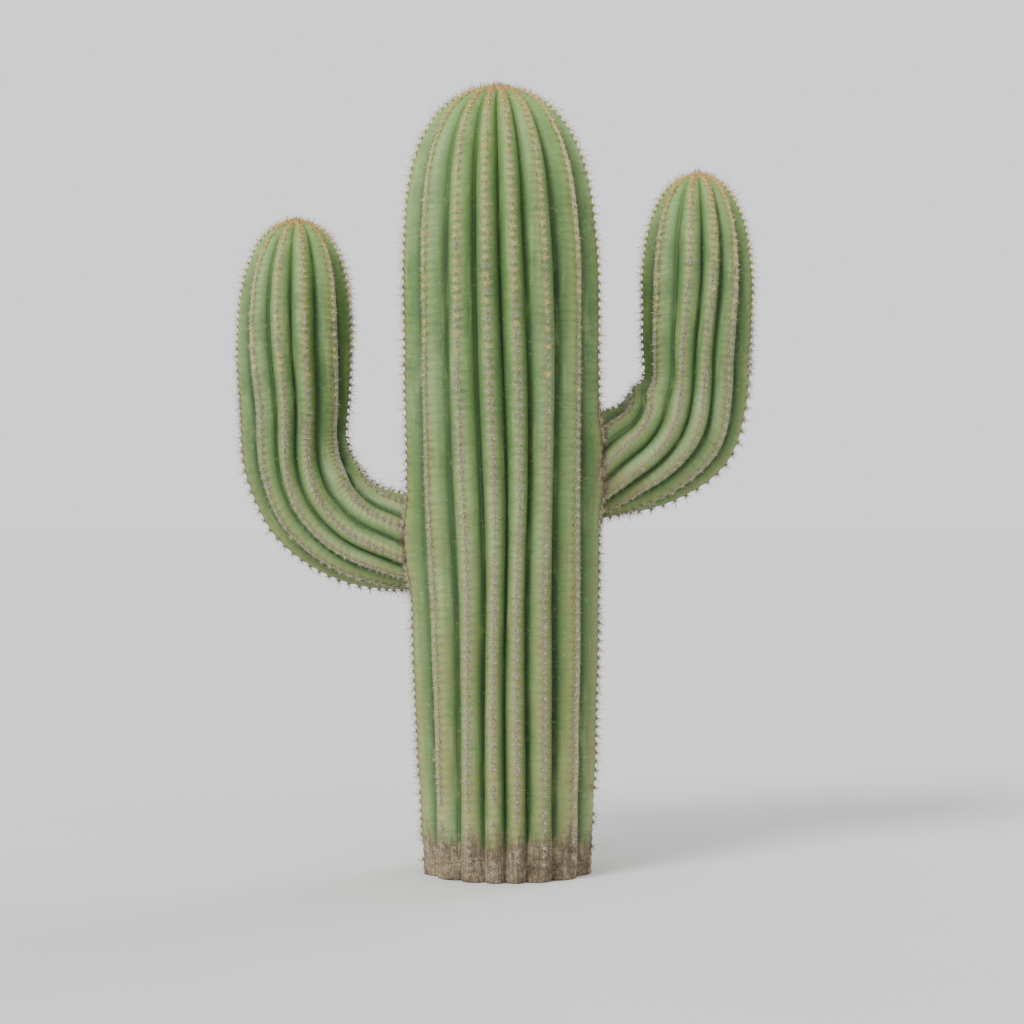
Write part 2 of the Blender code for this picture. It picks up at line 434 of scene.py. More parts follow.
RIB_COLUMNS = 14  # columns of a skin across one rib
AREOLE_ROWS = 4  # rows of a skin from one areole to the next on a rib
CROWN_PITCH = 0.55  # the pitch at the tip, as a share of the pitch on the body
CROWN_POWER = 0.8  # under 1, so that the pitch shrinks mostly near the tip
OUTLINE_SAMPLES = 6000  # steps in which the length of the outline is measured
LAST_RING = 1e-4  # a tip nearer than this to the last ring needs no ring of its own
TOUCHING = 1e-5  # points nearer than this are one
ROUNDING = 1e-4  # keeps the first column of a rib from counting as the rib before
COLUMN_SLACK = 0.25  # how far off a crest's middle column an areole may lie
BEAT_SLACK = 0.01  # how far under the top of the beat it may lie

SKIN_RELIEF = {
    "Areole Swell": 0.0042,
    "Lump Height": 0.0050,
    "Year Depth": 0.0035,
    "Rib Unevenness": 0.0040,
    "Cork Height": 0.0060,
    "Collar Width": 0.085,
}
SWELL_SHARPNESS = 4  # the higher, the closer the swelling keeps to the crest
HALO_SHARPNESS = 8  # the same for the worn halo round an areole
RELIEF_GIRTHS = (0.02, 0.12)  # relief starts at the first girth and is full at the second
LUMPS = Clouds(2.4, 2.0)
YEARS = Clouds(3.4, 1.0)
YEAR_CONTRAST = 3.0  # strengthens the pattern of the years, which is faint
RIB_SWELLS = (7.3, 1.6)  # the pattern's step from rib to rib, and its pace along a rib
CORK_RIDGES = Clouds(16.0, 5.0, 0.6, squash=1.7)
CORK_TOP = 0.50  # no cork above this height
CORK_POWER = 1.5  # over 1, so that most of it is near the ground
COLLAR_INSET = 0.03  # a collar's middle lies this far down the arm from its neck
COLLAR_SHARE = 0.95  # a collar is at its highest within this share of the neck's girth


def skin_tree():
    """Lofts a ribbed skin over a rail, a row of the skin for each of the rail's points."""
    crowding = ("Crowding Swing", "Crowding Around", "Crowding Start")
    collars = ("Left Neck Radius", "Right Neck Radius", "Collar Height")
    board = ModifierTree(
        "ribbed skin",
        counts=("Ribs", "Columns", "Rows", "Areole Rows"),
        sizes=("Plumpness", *crowding, *collars, *SKIN_RELIEF),
        places=("Left Neck", "Right Neck"),
        finishes=("Skin",),
    )
    rail = board.given("Geometry")
    ribs, columns, rows = board.given("Ribs"), board.given("Columns"), board.given("Rows")
    skin = board.get(
        "GeometryNodeMeshGrid",
        {"Size X": 1.0, "Size Y": 1.0, "Vertices X": columns + 1, "Vertices Y": rows},
        output="Mesh",
    )

    across, along_grid, _ = board.parts(board.get("GeometryNodeInputPosition"))
    column = board.maths("ROUND", (across + 0.5) * columns)
    row = board.maths("ROUND", (along_grid + 0.5) * (rows - 1))
    angle = (column / columns - 0.5) * math.tau

    def ring(name, data_type="FLOAT"):
        value = board.attribute(name, data_type)
        inputs = {"Geometry": rail, "Value": value, "Index": row}
        return board.get("GeometryNodeSampleIndex", inputs, data_type=data_type)

    centre, heading = ring("centre", "FLOAT_VECTOR"), ring("heading", "FLOAT_VECTOR")
    facing, station = ring("facing", "FLOAT_VECTOR"), ring("station")
    girth, groove, turn = ring("girth"), ring("groove"), ring("turn")

    crowding = angle * board.given("Crowding Around") + board.given("Crowding Start")
    strayed = angle + turn + board.maths("SINE", crowding) * board.given("Crowding Swing")
    for swing, pace, around, start in WANDER:
        wave = board.maths("SINE", station * pace + angle * around + start)
        strayed = strayed + wave * swing
    side = board.maths("CROSS_PRODUCT", heading, facing)
    outward = facing * board.maths("COSINE", strayed) + side * board.maths("SINE", strayed)

    crest = board.maths("ABSOLUTE", board.maths("SINE", angle * ribs * 0.5))
    rib = crest ** board.given("Plumpness")
    round_skin = girth * (1.0 - groove * (1.0 - rib))
    place = centre + outward * round_skin

    # Areoles stand on the crests, one rib's halfway between those of the next.
    rib_number = board.maths("FLOOR", angle * ribs / math.tau + ROUNDING)
    stagger = (rib_number % 2.0) * (board.given("Areole Rows") * 0.5)
    step = (row + stagger) / board.given("Areole Rows")
    beat = board.maths("COSINE", step * math.tau) * 0.5 + 0.5
    on_crest = board.maths("COMPARE", column % RIB_COLUMNS, RIB_COLUMNS / 2, COLUMN_SLACK)
    areole = on_crest * board.maths("COMPARE", beat, 1.0, BEAT_SLACK)

    # The grid's own places say which rib and row a point is on, so the notes come first.
    length = ring("length")
    notes = {
        "crest": crest,
        "length": length,
        "young": ring("young"),
        "corky": ring("corky"),
        "rib_number": rib_number,
        "halo": beat * crest**HALO_SHARPNESS,
        "areole": areole,
    }
    for name, value in notes.items():
        skin = board.store(skin, name, value)
    around = board.vector(board.maths("COSINE", angle), board.maths("SINE", angle), 0.0)
    unbent = around * girth + board.vector(0.0, 0.0, length)
    for name, value in {"heading": heading, "unbent": unbent}.items():
        skin = board.store(skin, name, value, "FLOAT_VECTOR")

    # The rings that close the ends are points, and take no relief.
    relief = skin_relief(board, place, girth, beat, notes)
    is_open = board.maths("GREATER_THAN", girth, TOUCHING)
    skin = board.get(
        "GeometryNodeSetPosition",
        {"Geometry": skin, "Position": place + outward * (relief * is_open)},
    )
    skin = board.get("GeometryNodeMergeByDistance", {"Geometry": skin, "Distance": TOUCHING})
    skin = board.get("GeometryNodeSetShadeSmooth", {"Geometry": skin})
    skin = board.get("GeometryNodeRealizeInstances", {"Geometry": skin})
    board.end(
        board.get("GeometryNodeSetMaterial", {"Geometry": skin, "Material": board.given("Skin")})
    )
    return board


def skin_relief(board, place, girth, beat, notes):
    """How far swellings, lumps, yearly waists, cork and collars push the skin out."""
    crest, length, rib_number = notes["crest"], notes["length"], notes["rib_number"]
    swell = beat * crest**SWELL_SHARPNESS * board.given("Areole Swell")

    # Clouds run from 0 to 1, so half is taken off, and they push the skin in as well as out.
    lumps = (board.clouds(place, LUMPS) - 0.5) * 2.0 * board.given("Lump Height")
    years = board.clouds(board.vector(0.0, 0.0, length), YEARS)
    waists = (0.5 - years) * board.given("Year Depth") * YEAR_CONTRAST
    each_rib = (board.rib_clouds(rib_number, length, RIB_SWELLS) - 0.5) * 2.0
    uneven = each_rib * crest * board.given("Rib Unevenness")
    ridges = (board.clouds(place, CORK_RIDGES) - 0.5) * 2.0
    cork = ridges * notes["corky"] * board.given("Cork Height")
    fullness = board.ease(girth, *RELIEF_GIRTHS)
    relief = (swell + lumps + waists + uneven) * fullness + cork

    collars = []
    for name in ("Left Neck", "Right Neck"):
        beyond = board.maths("DISTANCE", place, board.given(name)) - board.given(name + " Radius")
        collars.append(board.ease(beyond, start=board.given("Collar Width"), full=0.0))
    return relief + board.maths("MAXIMUM", *collars) * board.given("Collar Height")


def ring_stations(limb):
    """The stations of a skin's rows, evenly spaced along the outline and closer at the crown."""
    span = limb.tip - limb.start
    shares = [i / OUTLINE_SAMPLES for i in range(OUTLINE_SAMPLES + 1)]
    levels = [limb.tip - span * (1.0 - share) ** 2 for share in shares]
    found = [limb.start]
    travelled, wanted = 0.0, 0.0
    for low, high in zip(levels, levels[1:]):
        travelled += math.hypot(high - low, limb.girth(high) - limb.girth(low))
        shrink = (limb.girth(high) / limb.girth(limb.dome_start)) ** CROWN_POWER
        step = limb.pitch / AREOLE_ROWS * (CROWN_PITCH + (1.0 - CROWN_PITCH) * min(1.0, shrink))
        if travelled - wanted >= step:
            wanted = travelled
            found.append(high)
    if limb.tip - found[-1] > LAST_RING:
        found.append(limb.tip)
    return found


def rail(limb):
    """A mesh of points, one for each ring of the limb's skin, closed at both ends."""
    stations = ring_stations(limb)
    rings = [(stations[0], 0.0)]
    rings += [(s, limb.girth(s)) for s in stations]
    if rings[-1][1] > 0.0:
        rings.append((stations[-1], 0.0))
    mesh = bpy.data.meshes.new(limb.name + "_rail")
    centres, headings, fronts = zip(*(limb.line(s) for s, _ in rings))
    mesh.from_pydata(centres, [], [])
    length, lengths = 0.0, []
    for (s, girth), (last_s, last_girth) in zip(rings, [rings[0], *rings]):
        length += math.hypot(s - last_s, girth - last_girth)
        lengths.append(length)
    lengths = [value - lengths[1] for value in lengths]  # from the first open ring
    corky = [max(0.0, 1.0 - centre.z / CORK_TOP) ** CORK_POWER for centre in centres]
    numbers = {
        "station": [s for s, _ in rings],
        "girth": [girth for _, girth in rings],
        "groove": [limb.groove(s) for s, _ in rings],
        "turn": [limb.turn(s) for s, _ in rings],
        "length": lengths,
        "young": [value / lengths[-1] for value in lengths],
        "corky": corky,
    }
    store_values(mesh, numbers)
    vectors = {"centre": centres, "heading": headings, "facing": fronts}
    store_values(mesh, vectors, "FLOAT_VECTOR")
    return mesh


def grow_skin(tree, limb, finish, necks):
    """One limb's skin as a plain mesh object."""
    start = rail(limb)
    swing, around, first = limb.crowding
    values = {
        "Ribs": limb.ribs,
        "Columns": limb.ribs * RIB_COLUMNS,
        "Rows": len(start.vertices),
        "Areole Rows": AREOLE_ROWS,
        "Plumpness": PLUMPNESS,
        "Crowding Swing": swing,
        "Crowding Around": float(around),
        "Crowding Start": first,
        "Collar Height": limb.collar,
        "Skin": finish,
        **SKIN_RELIEF,
        **necks,
    }
    return tree.grow(limb.name + "_skin", start, values)


def neck_places(arms):
    """Where each arm leaves the trunk, and how far its neck reaches."""
    places = {}
    for side, arm in zip(("Left", "Right"), arms):
        centre = arm.line(NECK_DISTANCE - COLLAR_INSET)[0]
        places[side + " Neck"] = tuple(centre)
        places[side + " Neck Radius"] = arm.girth(NECK_DISTANCE) * COLLAR_SHARE
    return places


# Areoles: the felted points on the crests that the spines grow from

AREOLE_ROOM = 0.012  # bare skin kept between an areole and another limb
NECK_SPAN = (0.28, 0.63)  # the stretch of an arm that the trunk's areoles keep clear of
NECK_STEPS = 24
LEAST_PITCH = 0.70  # the least spacing along a rib, as a share of the limb's pitch
GROUND_ROOM = 0.035  # no areole is lower than this
BARE_FOOT = 0.75  # the share of its areoles that full cork has lost
NO_LENGTH = 1e-6  # under this a direction has no length to be divided by
SEAM_REACH = 0.06  # how far from another limb a skin is marked
CROWN_AREOLES = 44
CROWN_RADIUS = 0.050
CROWN_START = 0.6  # in steps of the spiral, so that none stands on the very tip
CROWN_RISE = 0.50  # how far the crown's tufts turn up along the limb
CROWN_SPREAD = 0.25  # how far they turn away from the tip
PROBE_HEIGHT = 0.10  # rays come down from here above the tip to find the crown's skin
GOLDEN_ANGLE = math.pi * (3 - math.sqrt(5))
MIDDLE_FROM, MIDDLE_MIX = 0.66, 0.12  # the share of a limb where middle age starts, give or take
YOUNG_FROM, YOUNG_MIX = 0.90, 0.07
TUFT_SIZES = (0.82, 1.15)  # the least and the most, as shares of the sizes given for tufts
SEEDS = {"trunk": 10, "left_arm": 13, "right_arm": 14}


def read_numbers(mesh, name, width=1):
    """One of a mesh's point attributes as an array."""
    values = np.empty(len(mesh.vertices) * width, np.float32)
    key = "value" if width == 1 else "vector"
    mesh.attributes[name].data.foreach_get(key, values)
    return values if width == 1 else values.reshape(-1, width)


def places_and_normals(mesh):
    """Where each of a mesh's points is, and which way it faces."""
    places = np.empty(len(mesh.vertices) * 3, np.float32)
    mesh.vertices.foreach_get("co", places)
    normals = np.empty(len(mesh.vertices) * 3, np.float32)
    mesh.vertex_normals.foreach_get("vector", normals)
    return places.reshape(-1, 3), normals.reshape(-1, 3)


def skin_search(skin):
    """A search tree over a skin's faces."""
    mesh = skin.data
    return BVHTree.FromPolygons(
        [v.co for v in mesh.vertices], [tuple(p.vertices) for p in mesh.polygons]
    )


def mark_seam(skin, search):
    """Marks how near each point of a skin is to another limb's: 1 where they meet."""
    mesh = skin.data
    if "seam" not in mesh.attributes:
        mesh.attributes.new("seam", "FLOAT", "POINT")
    seam = read_numbers(mesh, "seam")
    for index, vertex in enumerate(mesh.vertices):
        gap = search.find_nearest(vertex.co, SEAM_REACH)[3]
        if gap is not None:
            seam[index] = max(seam[index], 1.0 - gap / SEAM_REACH)
    mesh.attributes["seam"].data.foreach_set("value", seam)


def outside_trunk(places, trunk):
    """Which places lie clear of the trunk's crests."""
    outside = []
    for x, y, z in places:
        lean = trunk.line(z)[0].x
        outside.append(math.hypot(x - lean, y) > trunk.girth(z) + AREOLE_ROOM)
    return np.array(outside)


def outside_arm(places, arm):
    """Which places lie clear of an arm where it leaves the trunk."""
    outside = np.ones(len(places), bool)
    for station in np.linspace(*NECK_SPAN, NECK_STEPS + 1).tolist():
        gaps = np.linalg.norm(places - np.array(arm.line(station)[0]), axis=1)
        outside &= gaps > arm.girth(station) + AREOLE_ROOM
    return outside


def well_spaced(places, ribs, lengths, least):
    """Which areoles stay when those too near the last one kept on their rib are left out."""
    kept = np.zeros(len(places), bool)
    last = {}
    for index in np.argsort(lengths, kind="stable"):
        rib = round(float(ribs[index]))
        if rib not in last or np.linalg.norm(places[index] - places[last[rib]]) > least:
            kept[index] = True
            last[rib] = index
    return kept


def areoles_of(limb, skin, trunk, arms, dice):
    """A limb's areoles as a table: where each one is, which way it faces, and how young it is."""
    mesh = skin.data
    places, normals = places_and_normals(mesh)
    young, corky = read_numbers(mesh, "young"), read_numbers(mesh, "corky")
    keep = read_numbers(mesh, "areole") > 0.5
    headings = read_numbers(mesh, "heading", 3)
    if limb is trunk:
        for arm in arms:
            keep[keep] = outside_arm(places[keep], arm)
    else:
        keep[keep] = outside_trunk(places[keep], trunk)
    bare = dice.random(len(places)) < corky * BARE_FOOT
    keep &= ~bare & (places[:, 2] > GROUND_ROOM)
    ribs, lengths = read_numbers(mesh, "rib_number"), read_numbers(mesh, "length")
    nearest = LEAST_PITCH * limb.pitch
    keep[keep] = well_spaced(places[keep], ribs[keep], lengths[keep], nearest)
    places, normals, headings = places[keep], normals[keep], headings[keep]
    upward = headings - normals * np.sum(headings * normals, axis=1, keepdims=True)
    upward /= np.maximum(np.linalg.norm(upward, axis=1, keepdims=True), NO_LENGTH)
    return {"place": places, "outward": normals, "upward": upward, "young": young[keep]}


def crown_areoles(limb, search):
    """The close spiral of young areoles round a limb's tip."""
    tip, heading, facing = limb.line(limb.tip)
    side = heading.cross(facing)
    table = {"place": [], "outward": [], "upward": [], "young": []}
    for step in range(CROWN_AREOLES):
        radius = CROWN_RADIUS * math.sqrt((step + CROWN_START) / CROWN_AREOLES)
        angle = step * GOLDEN_ANGLE
        away = facing * math.cos(angle) + side * math.sin(angle)
        above = tip + away * radius + heading * PROBE_HEIGHT
        place, normal = search.ray_cast(above, -heading)[:2]
        outward = normal + heading * CROWN_RISE + away * CROWN_SPREAD
        table["place"].append(place)
        table["outward"].append(outward.normalized())
        table["upward"].append((-away).normalized())
        table["young"].append(1.0)
    return {name: np.array(values, np.float32) for name, values in table.items()}


def areole_points(name, table, dice):
    """A mesh of loose points that carries the areoles' table and each one's own draws."""
    young, count = table["young"], len(table["young"])
    mesh = bpy.data.meshes.new(name)
    mesh.from_pydata(table["place"].tolist(), [], [])
    middle = young + dice.uniform(-MIDDLE_MIX, MIDDLE_MIX, count) > MIDDLE_FROM
    newest = young + dice.uniform(-YOUNG_MIX, YOUNG_MIX, count) > YOUNG_FROM
    numbers = {
        "tone": np.where(newest, 2.0, np.where(middle, 1.0, 0.0)),
        "size": dice.uniform(*TUFT_SIZES, count),
        "twirl": dice.uniform(0.0, math.tau, count),
    }
    store_values(mesh, numbers)
    vectors = {name: table[name] for name in ("outward", "upward")}
    store_values(mesh, vectors, "FLOAT_VECTOR")
    return mesh


# Tufts of spines and pads of felt

AGES = ("Old", "Middle", "Young")
SPINE_STRAY = 0.35  # how far a spine stands from its even place round the areole, in steps
TIP_START = 0.6  # its tip's colour starts at this share of its length
RADIAL_SPINES = {
    "Spines": 18,
    "Sides": 3,
    "Joints": 1,
    "Shortest": 0.018,
    "Longest": 0.033,
    "Thickness": 0.0010,
    "Least Lean": math.radians(56),
    "Most Lean": math.radians(84),
    "Droop": 0.05,
    "Bend": 0.0,
    "Seed": 11,
}
CENTRAL_SPINES = {
    "Spines": 5,
    "Sides": 3,
    "Joints": 2,
    "Shortest": 0.022,
    "Longest": 0.044,
    "Thickness": 0.0014,
    "Least Lean": math.radians(8),
    "Most Lean": math.radians(55),
    "Droop": 0.28,
    "Bend": 1.6,
    "Seed": 23,
}
CROWN_SPINES = {
    **CENTRAL_SPINES,
    "Spines": 9,
    "Shortest": 0.012,
    "Longest": 0.023,
    "Most Lean": math.radians(62),
    "Droop": 0.0,
}
FELT = {"Half Width": 0.0045, "Half Length": 0.0062, "Height": 0.0034}
CROWN_FELT = {"Half Width": 0.0085, "Half Length": 0.0085, "Height": 0.0050}


def dealt_finishes(board, geometry):
    """Gives each tuft the finish that its tone names."""
    tone = board.attribute("tone")
    for number, age in enumerate(AGES):
        inputs = {"Geometry": geometry, "Material": board.given(age)}
        if number:
            inputs["Selection"] = board.maths("GREATER_THAN", tone, number - 0.5)
        geometry = board.get("GeometryNodeSetMaterial", inputs)
    return geometry


def one_spine(board):
    """A tapering spine one unit long, bent to one side, with its tip marked."""
    spine = board.get(
        "GeometryNodeMeshCone",
        {
            "Vertices": board.given("Sides"),
            "Side Segments": board.given("Joints"),
            "Radius Top": 0.0,
            "Radius Bottom": 1.0,
            "Depth": 1.0,
        },
        output="Mesh",
    )
    height = board.parts(board.get("GeometryNodeInputPosition"))[2]
    is_tip = board.maths("GREATER_THAN", height, TIP_START)
    spine = board.store(spine, "tip", is_tip, domain="FACE")
    sideways = board.vector(height * height * board.given("Bend"), 0.0, 0.0)
    return board.get("GeometryNodeSetPosition", {"Geometry": spine, "Offset": sideways})


def spine_tree():
    """Stands a spray of spines on each point."""
    leans = ("Least Lean", "Most Lean", "Droop", "Bend")
    board = ModifierTree(
        "spines on areoles",
        counts=("Spines", "Sides", "Joints", "Seed"),
        sizes=("Shortest", "Longest", "Thickness", *leans),
        finishes=(*AGES, "Tip"),
    )
    seed = board.given("Seed")
    copies = board.lay(
        "GeometryNodeDuplicateElements",
        {"Geometry": board.given("Geometry"), "Amount": board.given("Spines")},
        domain="POINT",
    )
    roots, nth = board.out(copies, "Geometry"), board.out(copies, "Duplicate Index")
    pick = board.get("GeometryNodeInputIndex")
    outward = board.attribute("outward", "FLOAT_VECTOR")
    upward = board.attribute("upward", "FLOAT_VECTOR")
    across = board.maths("CROSS_PRODUCT", upward, outward)
    stray = board.chance(-SPINE_STRAY, SPINE_STRAY, pick, seed)
    around = (nth + stray) / board.given("Spines") * math.tau + board.attribute("twirl")
    lean = board.chance(board.given("Least Lean"), board.given("Most Lean"), pick, seed + 1)
    flat = upward * board.maths("COSINE", around) + across * board.maths("SINE", around)
    aim = outward * board.maths("COSINE", lean) + flat * board.maths("SINE", lean)
    aim = aim - upward * board.given("Droop")
    rotation = board.get("FunctionNodeAlignRotationToVector", {"Vector": aim}, axis="Z")
    length = board.chance(board.given("Shortest"), board.given("Longest"), pick, seed + 2)
    length = length * board.attribute("size")
    thickness = board.given("Thickness")
    sprays = board.get(
        "GeometryNodeInstanceOnPoints",
        {
            "Points": roots,
            "Instance": one_spine(board),
            "Rotation": rotation,
            "Scale": board.vector(thickness, thickness, length),
        },
    )
    sprays = board.get("GeometryNodeRealizeInstances", {"Geometry": sprays})
    sprays = dealt_finishes(board, sprays)
    on_tip = board.maths("GREATER_THAN", board.attribute("tip"), 0.5)
    board.end(
        board.get(
            "GeometryNodeSetMaterial",
            {"Geometry": sprays, "Selection": on_tip, "Material": board.given("Tip")},
        )
    )
    return board


def felt_tree():
    """Lays an oval pad of felt on each point."""
    sizes = ("Half Width", "Half Length", "Height")
    board = ModifierTree("felt on areoles", sizes=sizes, finishes=AGES)
    pad = board.get(
        "GeometryNodeMeshIcoSphere", {"Radius": 1.0, "Subdivisions": 1}, output="Mesh"
    )
    axes = {
        "Primary Axis": board.attribute("outward", "FLOAT_VECTOR"),
        "Secondary Axis": board.attribute("upward", "FLOAT_VECTOR"),
    }
    rotation = board.get(
        "FunctionNodeAxesToRotation", axes, primary_axis="Z", secondary_axis="Y"
    )
    scale = board.vector(*(board.given(size) for size in sizes))
    pads = board.get(
        "GeometryNodeInstanceOnPoints",
        {
            "Points": board.given("Geometry"),
            "Instance": pad,
            "Rotation": rotation,
            "Scale": scale * board.attribute("size"),
        },
    )
    pads = board.get("GeometryNodeRealizeInstances", {"Geometry": pads})
    pads = board.get("GeometryNodeSetShadeSmooth", {"Geometry": pads})
    board.end(dealt_finishes(board, pads))
    return board


# Finishes


def paint(hex_colour):
    """A colour in hexadecimal digits as a linear one, by the usual curve of display colours."""
    parts = [int(hex_colour[i : i + 2], 16) / 255 for i in (0, 2, 4)]
    linear = [c / 12.92 if c <= 0.04045 else ((c + 0.055) / 1.055) ** 2.4 for c in parts]
    return (*linear, 1.0)


@dataclass
class Coat:
    """A shade laid over those before it, where a pattern is strong."""

    pattern: str
    start: float  # how strong the pattern is where the shade starts
    full: float  # and where it is full
    strength: float
    shade: str
    within: str = ""  # a second pattern that it follows


class Finish(Board):
    """A material with one Principled surface."""

    def __init__(self, name, base, roughness):
        self.material = bpy.data.materials.new(name)
        self.material.use_nodes = True
        super().__init__(self.material.node_tree)
        self.surface = self.tree.nodes["Principled BSDF"]
        self.set("Base Color", paint(base))
        self.set("Roughness", roughness)
        self.material.diffuse_color = paint(base)

    def set(self, name, value):
        """Joins or sets one of the surface's inputs."""
        self.fill(self.surface.inputs[name], value)

    def note(self, name, output="Fac"):
        """A number or a place that the mesh carries."""
        return self.get("ShaderNodeAttribute", output=output, attribute_name=name)

    def blend(self, amount, first, second):
        """The first colour where the amount is 0, and the second where it is 1."""
        inputs = {"Factor": amount, "A": first, "B": second}
        return self.get("ShaderNodeMix", inputs, "Result", data_type="RGBA")

    def coated(self, colour, coats, patterns):
        """A colour with coats over it, the first at the bottom."""
        for coat in coats:
            amount = self.ease(patterns[coat.pattern], coat.start, coat.full) * coat.strength
            if coat.within:
                amount = amount * patterns[coat.within]
            colour = self.blend(amount, colour, paint(coat.shade))
        return colour

    def ragged(self, value, patterns, unevenness):
        """A value that patterns raise and lower, so that the edge of what it draws is uneven."""
        for name, amount in unevenness.items():
            value = value + (patterns[name] - 0.5) * amount
        return value

    def cells(self, place, scale):
        """How far each place is from the nearest of many scattered points."""
        return self.get("ShaderNodeTexVoronoi", {"Vector": place, "Scale": scale}, "Distance")

    def raise_relief(self, height, distance, strength):
        """Shades the surface as if it had this height."""
        inputs = {"Height": height, "Distance": distance, "Strength": strength}
        self.set("Normal", self.get("ShaderNodeBump", inputs, "Normal"))


SKIN_BASE, SKIN_ROUGHNESS = "5F7A3C", 0.5  # for a view that shows no patterns
SKIN_CLOUDS = {
    "broad": Clouds(1.9, 3.0),
    "patches": Clouds(9.0, 5.0, 0.62),
    "grain": Clouds(70.0, 4.0, 0.65),
    "streaks": Clouds(38.0, 4.0, 0.6, squash=0.09),
    "wrinkles": Clouds(13.0, 5.0, 0.62, squash=7.0),
    "pocked": Clouds(2.3, 1.0),
    "fissures": Clouds(48.0, 5.0, 0.6, squash=0.2),
    "checks": Clouds(24.0, 4.0, 0.6, squash=2.6),
}
RIB_TINTS = (3.7, 1.3)  # the pattern's step from rib to rib, and its pace along a rib

# Pairs give the value where a look starts and where it is full, unless they say otherwise.
# Painted shade: the grooves are coloured dark as if in shadow, and the first two coats below
# lighten the skin towards the crests as painted light.
PAINTED_GROOVE_SHADOW = "22351A"
SKIN_COATS = (
    # painted light: these two coats lighten the skin from the dark grooves out to the crests
    Coat("crest", 0.04, 0.62, 1.00, "4C6B30"),
    Coat("crest", 0.60, 1.00, 0.75, "71853F"),
    Coat("each_rib", 0.38, 0.62, 0.35, "587843"),
    Coat("broad", 0.40, 0.66, 0.45, "88A06C", within="crest"),
    Coat("patches", 0.46, 0.66, 0.40, "35502A"),
    Coat("streaks", 0.52, 0.74, 0.35, "94A668"),
    Coat("wrinkles", 0.50, 0.66, 0.40, "3A5428"),
    Coat("grain", 0.56, 0.72, 0.22, "A3AE78"),
    Coat("young", 0.72, 1.00, 0.50, "7C9C4E"),
)
WEATHERED_SHADE = "8C8350"
WEATHERED_AGE, WEATHERED_PATCHES = (0.62, 0.02), (0.46, 0.78)
WEATHERED_CREST = 0.2  # how much sooner the crests weather than the grooves
EXPOSED_CREST = (0.25, 0.75)
EXPOSURE = (0.15, 0.55)  # how much of the weathering shows in the grooves, and on the crests
HALO_SHADE, HALO_STRENGTH = "8B7F5C", 0.6
HALO_AGE = (1.0, 0.5)
PIT_SHADE, PIT_STRENGTH = "75613F", 0.7
PIT_CELLS = 8.0
PIT_RADIUS, PIT_PATCHES = (0.105, 0.06), (0.50, 0.56)
PIT_EDGE = {"grain": 0.16}

BARK_SHADE = "5E4E3B"
BARK_COATS = (
    Coat("patches", 0.32, 0.68, 1.00, "8C7B62"),
    Coat("streaks", 0.50, 0.70, 0.50, "A4977F"),
    Coat("grain", 0.50, 0.70, 0.40, "6E5C45"),
)
BARK_STRENGTH = 0.94
# painted shade: the bark's cracks are coloured dark as if in shadow
PAINTED_CRACK_SHADE, PAINTED_CRACK_STRENGTH = "33291E", 0.6
UPRIGHT_CRACKS, LEVEL_CRACKS = (0.05, 0.0), (0.03, 0.0)
CORK_RANGE, SEAM_RANGE = (0.44, 0.70), (0.58, 0.86)
CORK_EDGE = {"patches": 0.55, "streaks": 0.50, "crest": 0.12}
SEAM_EDGE = {"patches": 0.45, "grain": 0.40}

DRY_ROUGHNESS = 0.88
SHADED_CREST = (0.40, 0.08)
WAXY_PATCHES = (0.3, 0.7)
WAXY_ROUGHNESS = (0.54, 0.68)  # the least and the most on sound skin
BUMP_DEPTH, BUMP_STRENGTH = 0.0030, 0.8
GRAIN_BUMP, STREAK_BUMP, WRINKLE_BUMP, PATCH_BUMP = 0.18, 0.22, 0.32, 0.30  # shares of the depth
BARK_BUMP, CRACK_BUMP, PIT_BUMP = 0.5, 0.9, 0.5


